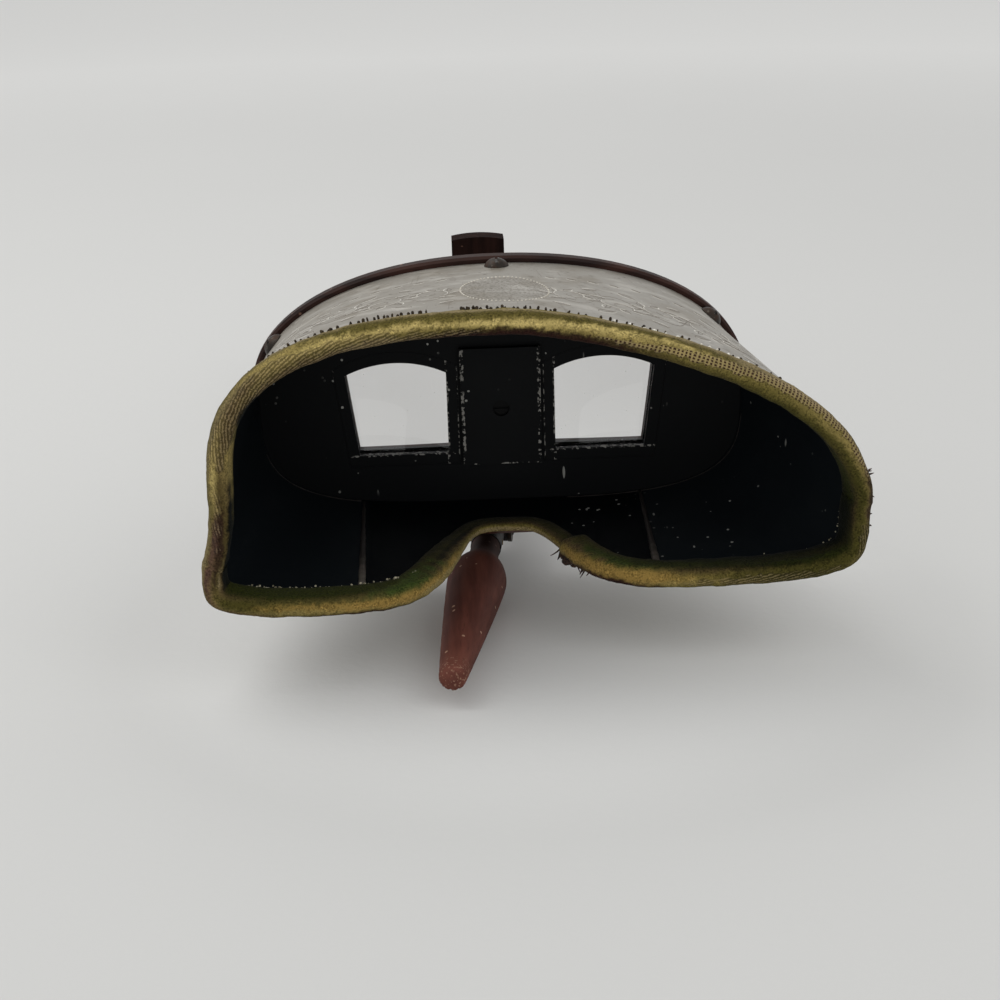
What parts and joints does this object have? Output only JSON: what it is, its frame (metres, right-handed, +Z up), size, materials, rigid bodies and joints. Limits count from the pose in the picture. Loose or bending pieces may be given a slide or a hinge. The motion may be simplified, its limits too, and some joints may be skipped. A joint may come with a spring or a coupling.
{
  "type": "stereoscope",
  "caption": "Hand stereoscope with a velvet-edged aluminium hood, arched lens board, wooden rail, sliding card carriage and folding turned handle.",
  "frame": {"origin": "on the rail's flat underside, below the middle of the lens board", "axes": "+X to the viewer's right, +Y along the rail away from the viewer's face, +Z up"},
  "size_m": [0.1847, 0.3931, 0.1067],
  "materials": {
    "mahogany": "dark varnished mahogany",
    "rail_wood": "red-brown varnished wood",
    "handle_wood": "glossy red-brown turned wood",
    "black_paint": "scuffed black paint on wood",
    "hood_sheet": "dull engraved aluminium sheet, black inside",
    "velvet": "faded yellow-green velvet ribbon",
    "dark_iron": "darkened iron",
    "old_brass": "dull brass",
    "lens_glass": "polished clear glass"
  },
  "bodies": {
    "viewer": {"lens_board": "mahogany", "hood": "hood_sheet", "hood_binding": "velvet", "hood_screws": "dark_iron", "lens_left": "lens_glass", "lens_right": "lens_glass", "lens_bead_left": "black_paint", "lens_bead_right": "black_paint", "centre_panel": "black_paint", "panel_screw": "dark_iron", "septum": "black_paint", "septum_cleats": "rail_wood", "rail": "rail_wood", "rail_screws": "dark_iron", "end_stop": "rail_wood", "end_stop_screw": "dark_iron", "swivel_screw": "dark_iron"},
    "bracket": {"handle_bracket": "dark_iron", "handle_pin": "dark_iron"},
    "folding_handle": {"handle": "handle_wood", "handle_ferrule": "dark_iron", "ferrule_rivet": "old_brass"},
    "carriage": {"crossbar": "rail_wood", "keeper_plate": "old_brass", "keeper_screws": "dark_iron", "friction_spring": "old_brass", "wire_staples": "old_brass"},
    "holder_left": {"card_wire_left": "dark_iron"},
    "holder_right": {"card_wire_right": "dark_iron"}
  },
  "joints": [
    {"name": "bracket_swivel", "type": "hinge", "parent": "viewer", "child": "bracket", "pos_m": [0, 0.0528, 0], "axis": [0, 0, 1], "range_deg": [-8, 22]},
    {"name": "handle_fold", "type": "hinge", "parent": "bracket", "child": "folding_handle", "pos_m": [-0.00372, 0.02202, -0.008], "axis": [0.9928, -0.1201, 0], "range_deg": [0, 90]},
    {"name": "carriage_slide", "type": "slide", "parent": "viewer", "child": "carriage", "axis": [0, 1, 0], "range_m": [-0.142, 0.0525]},
    {"name": "holder_left_fold", "type": "hinge", "parent": "carriage", "child": "holder_left", "pos_m": [-0.066, 0.222, 0.01585], "axis": [-1, 0, 0], "range_deg": [0, 90]},
    {"name": "holder_right_fold", "type": "hinge", "parent": "carriage", "child": "holder_right", "pos_m": [0.066, 0.222, 0.01585], "axis": [-1, 0, 0], "range_deg": [0, 90]}
  ]
}
